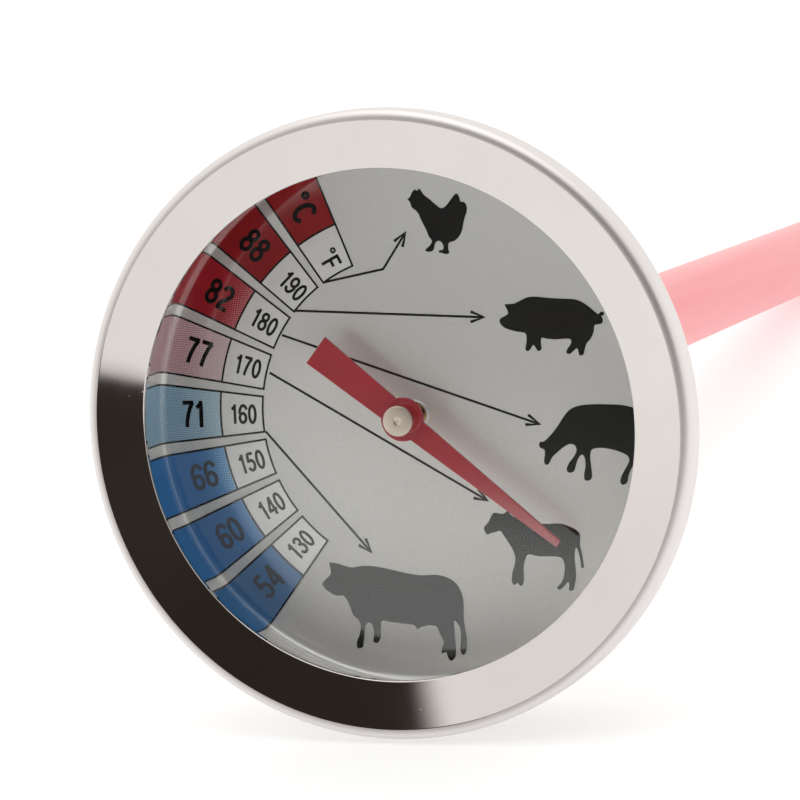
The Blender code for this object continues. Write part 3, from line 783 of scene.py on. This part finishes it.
for k, (outer, inner) in enumerate(LABELS):
    a0, a1 = TH0 + k * DTH, TH0 + k * DTH + WIDTH
    mid = (a0 + a1) / 2
    even = lambda r, a0=a0, a1=a1: [a0 + (a1 - a0) * i / 16 for i in range(17)]
    always = lambda i, j: True
    shell(f"scale_colour_{k}", dish_path(R_MID), even, always, INKS[k], 0.012)
    shell(f"scale_white_{k}", [(R_IN, DIAL_S, 0.0, -1.0), (R_MID, DIAL_S, 0.0, -1.0)], even, always, M_WHITE, 0.012)

    def edges(r, a0=a0, a1=a1):
        h = math.degrees(LINE / r)
        return [a0 - h, a0 + h] + [a0 + h + (a1 - a0 - 2 * h) * i / 14 for i in range(1, 14)] + [a1 - h, a1 + h]

    lines = dish_path(R_IN - LINE, R_IN + LINE, R_MID - LINE, R_MID + LINE)
    shell(f"scale_outline_{k}", lines, edges, lambda i, j: j in (0, 15) or i in (0, 2), M_LINE, 0.020)
    c, s = math.cos(math.radians(mid)), math.sin(math.radians(mid))
    ra = 19.62
    rb = (14.75, 14.85, 15.05, 15.08, 15.10, 15.10, 15.08, 15.2)[k]
    text(f"figure_c_{k}", outer, ra * c, ra * s, 2.24 if k else 2.2, mid - 180, weight=STROKE if k else 0.19, mat=M_PAINTED_HAZE_BLACK if k > 4 else None)
    text(f"figure_f_{k}", inner, rb * c, rb * s, 1.66, mid - 180, squeeze=0.90 if k else 1.0, weight=0.156)

ARROWS = {
    "hen": [(-7.53, 11.11), (-2.2, 12.18), (-0.1, 15.24)],
    "pig": [(-10.15, 8.77), (6.45, 8.10)],
    "cow": [(-11.39, 6.72), (10.91, -0.82)],
    "calf": [(-12.63, 3.55), (6.15, -7.22)],
    "ox": [(-13.21, -1.42), (-4.26, -11.64)],
}


def arrow(name, points):
    pts = [Vector(p) for p in points]
    n = len(pts)
    half = 0.097
    left, right = [], []
    for i, p in enumerate(pts):
        if i == 0:
            d = (pts[1] - p).normalized(); w = half
        elif i == n - 1:
            d = (p - pts[-2]).normalized(); w = half
        else:
            a, b = (p - pts[i - 1]).normalized(), (pts[i + 1] - p).normalized()
            d = (a + b).normalized(); w = half / max(0.3, d.dot(a))
        nn = Vector((-d.y, d.x)) * w
        left.append(p + nn); right.append(p - nn)
    d = (pts[-1] - pts[-2]).normalized()
    m = Vector((-d.y, d.x))
    tip = pts[-1]
    # open head: two barbs swept back from the tip
    L, W, T = 1.15, 0.55, 0.24
    left[-1] = tip - d * T * 1.9 + m * half
    right[-1] = tip - d * T * 1.9 - m * half
    head = [
        tip + d * 0.12,
        tip - d * L + m * W,
        tip - d * (L + 0.10) + m * (W - T),
        left[-1], right[-1],
        tip - d * (L + 0.10) - m * (W - T),
        tip - d * L - m * W,
    ]
    loop = left[:-1] + [head[3], head[2], head[1], head[0], head[6], head[5], head[4]] + right[:-1][::-1]
    printed(name, [[tuple(p) for p in loop]], M_LINE, 0.020)


for name, pts in ARROWS.items():
    arrow("arrow_" + name, pts)

# Plain farm-animal figures, all facing left, in units of their own box: x 0 to 1 from nose to tail, y 0 to 1 from hoof to back.
FIGURES = {
    "hen": ((0.15, 13.35, 5.2, 5.5), [
        (0.00, 0.835, 1), (0.055, 0.885), (0.085, 0.945), (0.135, 0.985), (0.175, 0.965), (0.205, 1.0), (0.245, 0.955), (0.285, 0.90),
        (0.37, 0.84), (0.46, 0.765), (0.545, 0.705), (0.60, 0.705), (0.665, 0.755), (0.735, 0.835), (0.80, 0.905), (0.845, 0.905),
        (0.872, 0.85), (0.885, 0.79, 1), (0.945, 0.785), (0.985, 0.735), (0.99, 0.655), (0.955, 0.565), (0.925, 0.47), (0.90, 0.37),
        (0.85, 0.275), (0.775, 0.21), (0.70, 0.185), (0.665, 0.165), (0.655, 0.09), (0.668, 0.02), (0.60, 0.005), (0.545, 0.022), (0.50, 0.03),
        (0.50, 0.06), (0.565, 0.075), (0.575, 0.13), (0.545, 0.185), (0.50, 0.205), (0.455, 0.185), (0.425, 0.13), (0.41, 0.075), (0.365, 0.045),
        (0.30, 0.045), (0.27, 0.065), (0.30, 0.10), (0.355, 0.145), (0.385, 0.205), (0.335, 0.28), (0.30, 0.37), (0.255, 0.455), (0.21, 0.545), (0.175, 0.625),
        (0.115, 0.685), (0.07, 0.715), (0.052, 0.775), (0.03, 0.815)]),
    "pig": ((7.75, 4.85, 9.1, 5.0), [
        (0.00, 0.575), (0.015, 0.635), (0.055, 0.67), (0.083, 0.715), (0.075, 0.775), (0.052, 0.86, 1), (0.10, 0.868), (0.145, 0.875), (0.20, 0.92), (0.27, 0.975),
        (0.35, 0.985), (0.46, 0.965), (0.58, 0.95), (0.70, 0.94), (0.78, 0.895), (0.85, 0.81), (0.905, 0.725), (0.935, 0.69), (0.955, 0.725), (0.985, 0.72), (0.985, 0.675),
        (0.962, 0.66), (0.975, 0.60), (0.965, 0.535), (0.925, 0.52), (0.895, 0.50), (0.885, 0.40), (0.855, 0.285), (0.815, 0.205), (0.795, 0.105), (0.78, 0.02), (0.745, 0.01),
        (0.735, 0.075), (0.722, 0.125), (0.69, 0.085), (0.655, 0.035), (0.62, 0.055), (0.635, 0.125), (0.665, 0.20), (0.665, 0.275), (0.61, 0.285), (0.53, 0.275), (0.45, 0.285),
        (0.395, 0.30), (0.385, 0.22), (0.388, 0.115), (0.355, 0.085), (0.335, 0.135), (0.312, 0.185), (0.29, 0.135), (0.265, 0.085), (0.235, 0.11), (0.245, 0.21), (0.25, 0.32),
        (0.235, 0.385), (0.17, 0.405), (0.10, 0.435), (0.035, 0.485)]),
    "cow": ((10.75, -6.15, 9.6, 7.1), [
        (0.00, 0.50), (0.012, 0.545), (0.045, 0.55), (0.10, 0.615), (0.165, 0.715), (0.225, 0.83), (0.28, 0.915), (0.36, 0.965), (0.48, 0.985), (0.62, 0.985), (0.76, 0.975),
        (0.87, 0.935), (0.945, 0.87), (0.985, 0.76), (0.995, 0.60), (0.985, 0.43), (0.97, 0.30), (0.97, 0.16), (0.955, 0.05), (0.905, 0.02), (0.875, 0.05), (0.895, 0.12),
        (0.905, 0.21), (0.885, 0.275), (0.85, 0.285), (0.815, 0.225), (0.79, 0.145), (0.775, 0.07), (0.735, 0.045), (0.715, 0.085), (0.735, 0.165), (0.77, 0.245), (0.80, 0.32),
        (0.79, 0.38), (0.73, 0.425), (0.64, 0.46), (0.55, 0.475), (0.475, 0.455), (0.455, 0.38), (0.46, 0.26), (0.465, 0.14), (0.44, 0.095), (0.40, 0.10), (0.395, 0.165),
        (0.41, 0.27), (0.405, 0.36), (0.38, 0.395), (0.345, 0.345), (0.325, 0.27), (0.305, 0.20), (0.26, 0.185), (0.24, 0.225), (0.265, 0.30), (0.31, 0.375), (0.335, 0.45),
        (0.32, 0.505), (0.275, 0.52), (0.215, 0.48), (0.16, 0.42), (0.115, 0.365), (0.085, 0.295), (0.055, 0.275), (0.04, 0.32), (0.05, 0.40), (0.045, 0.455), (0.02, 0.47)]),
    "calf": ((5.7, -14.75, 8.6, 6.7), [
        (0.00, 0.785), (0.045, 0.855), (0.085, 0.945), (0.115, 0.975), (0.165, 0.965), (0.205, 0.965), (0.245, 0.995), (0.275, 0.955), (0.33, 0.915), (0.42, 0.875), (0.53, 0.845),
        (0.65, 0.84), (0.76, 0.845), (0.85, 0.815), (0.93, 0.765), (0.965, 0.71), (0.965, 0.64), (0.962, 0.58), (0.975, 0.49), (0.985, 0.39), (0.99, 0.305), (0.965, 0.30),
        (0.958, 0.40), (0.94, 0.50), (0.92, 0.545), (0.905, 0.47), (0.905, 0.34), (0.91, 0.20), (0.895, 0.09), (0.875, 0.015), (0.835, 0.015), (0.84, 0.085), (0.825, 0.115),
        (0.785, 0.06), (0.745, 0.02), (0.715, 0.045), (0.76, 0.11), (0.79, 0.20), (0.80, 0.31), (0.785, 0.395), (0.745, 0.43), (0.65, 0.435), (0.54, 0.435), (0.44, 0.455),
        (0.405, 0.39), (0.385, 0.29), (0.385, 0.18), (0.375, 0.09), (0.345, 0.06), (0.32, 0.10), (0.285, 0.07), (0.262, 0.12), (0.27, 0.22), (0.295, 0.32), (0.305, 0.42),
        (0.285, 0.51), (0.245, 0.60), (0.20, 0.685), (0.165, 0.745), (0.12, 0.735), (0.06, 0.715), (0.025, 0.705)]),
    "ox": ((-8.75, -20.85, 12.6, 8.45), [
        (0.00, 0.76), (0.025, 0.815), (0.06, 0.865), (0.062, 0.92), (0.055, 0.985, 1), (0.11, 0.978), (0.165, 0.952), (0.215, 0.938), (0.30, 0.955), (0.40, 0.945), (0.50, 0.915),
        (0.60, 0.885), (0.70, 0.865), (0.80, 0.872), (0.88, 0.845), (0.94, 0.785), (0.975, 0.69), (0.985, 0.58), (0.982, 0.46), (0.988, 0.35), (0.998, 0.23), (0.992, 0.12),
        (0.97, 0.075), (0.95, 0.115), (0.957, 0.22), (0.955, 0.33), (0.935, 0.395), (0.915, 0.41), (0.915, 0.30), (0.918, 0.17), (0.915, 0.06), (0.885, 0.012), (0.862, 0.045),
        (0.85, 0.10), (0.82, 0.085), (0.825, 0.14), (0.835, 0.21), (0.81, 0.29), (0.79, 0.355), (0.73, 0.365), (0.68, 0.345), (0.655, 0.325), (0.635, 0.365), (0.56, 0.38),
        (0.47, 0.395), (0.41, 0.405), (0.40, 0.33), (0.395, 0.24), (0.375, 0.185), (0.345, 0.195), (0.35, 0.27), (0.345, 0.35), (0.32, 0.385), (0.295, 0.36), (0.285, 0.28),
        (0.275, 0.19), (0.265, 0.135), (0.23, 0.13), (0.228, 0.19), (0.25, 0.27), (0.26, 0.35), (0.245, 0.41), (0.21, 0.46), (0.19, 0.54), (0.17, 0.61), (0.14, 0.655),
        (0.095, 0.655), (0.045, 0.69)]),
}
for name, ((x, y, w, h), pts) in FIGURES.items():
    loop = smooth_loop([(x + p[0] * w, y + p[1] * h) + tuple(p[2:]) for p in pts], 5)
    # the dial's edge trims what would run over it
    loop = [(px, py) if math.hypot(px, py) <= 21.25 else (px * 21.25 / math.hypot(px, py), py * 21.25 / math.hypot(px, py)) for px, py in loop]
    printed("figure_" + name, [loop], M_BLACK, 0.016)

# ---------------------------------------------------------------- stage, light and camera
scene = bpy.context.scene
scene.view_settings.view_transform = "Standard"
scene.view_settings.look = "None"

# The view: the dial's normal as the camera sees it, and the distance along the line of sight to the bezel's inner edge.
NORMAL = Vector((-0.31435481, -0.12377781, 0.94120141))
EX = Vector((0.94843489, 0.00150335, 0.31696845))
EY = Vector((-0.04064862, 0.99230882, 0.11692261))
CENTRE = Vector((-1.19951893, -2.14710836, -408.96431313)) * MM
seen = Matrix((EX, EY, NORMAL)).transposed()  # dial frame to camera frame
own = Matrix((RIGHT, UP, -AXIS)).transposed()  # dial frame to world
M = own @ seen.transposed()
cam_pos = (FRONT + AXIS * 0.72 * MM) - M @ CENTRE
cam_data = bpy.data.cameras.new("camera")
cam_data.sensor_width = 36.0
cam_data.lens = 225.0
cam_data.clip_start = 0.01
cam_data.clip_end = 50
cam = link(bpy.data.objects.new("camera", cam_data))
cam.matrix_world = Matrix.Translation(cam_pos) @ M.to_4x4()
scene.camera = cam

view_dir = (M @ Vector((0, 0, 1))).normalized()  # from the object to the camera
AZ = math.atan2(view_dir.x, -view_dir.y)
print("camera azimuth", math.degrees(AZ), "elevation", math.degrees(math.asin(view_dir.z)))

floor_mesh = bpy.data.meshes.new("floor")
bm = bmesh.new()
for x0, x1, y0, y1, z0 in ((-1.3, 1.3, -1.3, 0.080, 0.0), (-1.3, 1.3, 0.080, 1.3, -0.032)):
    bm.faces.new([bm.verts.new((x, y, z0)) for x, y in ((x0, y0), (x1, y0), (x1, y1), (x0, y1))])
bm.faces.new([bm.verts.new((x, 0.080, z)) for x, z in ((-1.3, -0.032), (1.3, -0.032), (1.3, 0.0), (-1.3, 0.0))])
bm.to_mesh(floor_mesh)
bm.free()
floor = link(bpy.data.objects.new("floor", floor_mesh))
ft = Tree("floor_white")
fp = ft.principled(Roughness=0.6)
fp.inputs["Base Color"].default_value = (0.55, 0.55, 0.55, 1)
fp.inputs["Emission Color"].default_value = (1, 1, 1, 1)
fp.inputs["Emission Strength"].default_value = 0.535
floor_mesh.materials.append(ft.finish(fp))

world = bpy.data.worlds.new("studio")
scene.world = world
world.use_nodes = True
wt = Tree.__new__(Tree)
wt.nt = world.node_tree
wt.nt.nodes.clear()
out = wt.nt.nodes.new("ShaderNodeOutputWorld")
sep = wt.node("ShaderNodeSeparateXYZ", Vector=wt.node("ShaderNodeTexCoord").outputs["Generated"])
x, y, z = sep.outputs
fwd = wt.math("SUBTRACT", wt.math("MULTIPLY", x, math.sin(AZ)), wt.math("MULTIPLY", y, math.cos(AZ)))
side = wt.math("ADD", wt.math("MULTIPLY", x, math.cos(AZ)), wt.math("MULTIPLY", y, math.sin(AZ)))
az = wt.math("MULTIPLY", wt.math("ARCTAN2", side, fwd), 180 / math.pi)
el = wt.math("MULTIPLY", wt.math("ARCSINE", z), 180 / math.pi)
# a darkened room to the camera's right and behind it: its left edge leans outward towards the horizon
lean = wt.math("MULTIPLY", wt.math("SUBTRACT", 15.6, el), 0.2)
left = wt.smooth(wt.math("ADD", az, lean), -41.6, -39.4)
right = wt.math("SUBTRACT", 1.0, wt.smooth(az, 36.0, 52.0))
turn = wt.math("MAXIMUM", wt.math("SUBTRACT", -22.7, az), 0.0)
sill = wt.math("ADD", wt.math("MULTIPLY", turn, -0.0164), wt.math("MULTIPLY", wt.math("MULTIPLY", turn, turn), 0.00712))
above = wt.math("ADD", wt.math("SUBTRACT", el, sill), 0.72)
low = wt.smooth(above, -0.32, 0.32)  # the far edge of the table top
dusk = wt.math("MULTIPLY", wt.smooth(above, -1.3, -0.1), 0.30)  # the table top darkens towards that edge
top = wt.math("SUBTRACT", 1.0, wt.smooth(el, 44.0, 60.0))
dark = wt.math("MULTIPLY", wt.math("MULTIPLY", left, right), wt.math("MULTIPLY", low, top))
shade = wt.smooth(wt.noise(wt.scaled(wt.node("ShaderNodeTexCoord").outputs["Generated"], (1.6, 1.6, 1.6)), 1.0, 1.0), 0.35, 0.65)
over = wt.smooth(el, 48.0, 72.0)
bright = wt.mix(over, wt.mix(wt.math("MULTIPLY", dusk, wt.math("MULTIPLY", wt.smooth(az, -33.0, -27.0), wt.math("SUBTRACT", 1.0, wt.smooth(az, 30.0, 60.0)))), wt.mix(wt.smooth(el, -1.0, 9.0), (1.14, 1.12, 1.095), (1.06, 1.04, 1.01)), (0.2, 0.19, 0.18)), (1.7, 1.7, 1.68))
sky = wt.mix(dark, bright, wt.mix(shade, (0.030, 0.0235, 0.0195), (0.050, 0.041, 0.035)))
bg = wt.node("ShaderNodeBackground", Strength=1.0)
wt.nt.links.new(sky, bg.inputs["Color"])
wt.nt.links.new(bg.outputs[0], out.inputs[0])
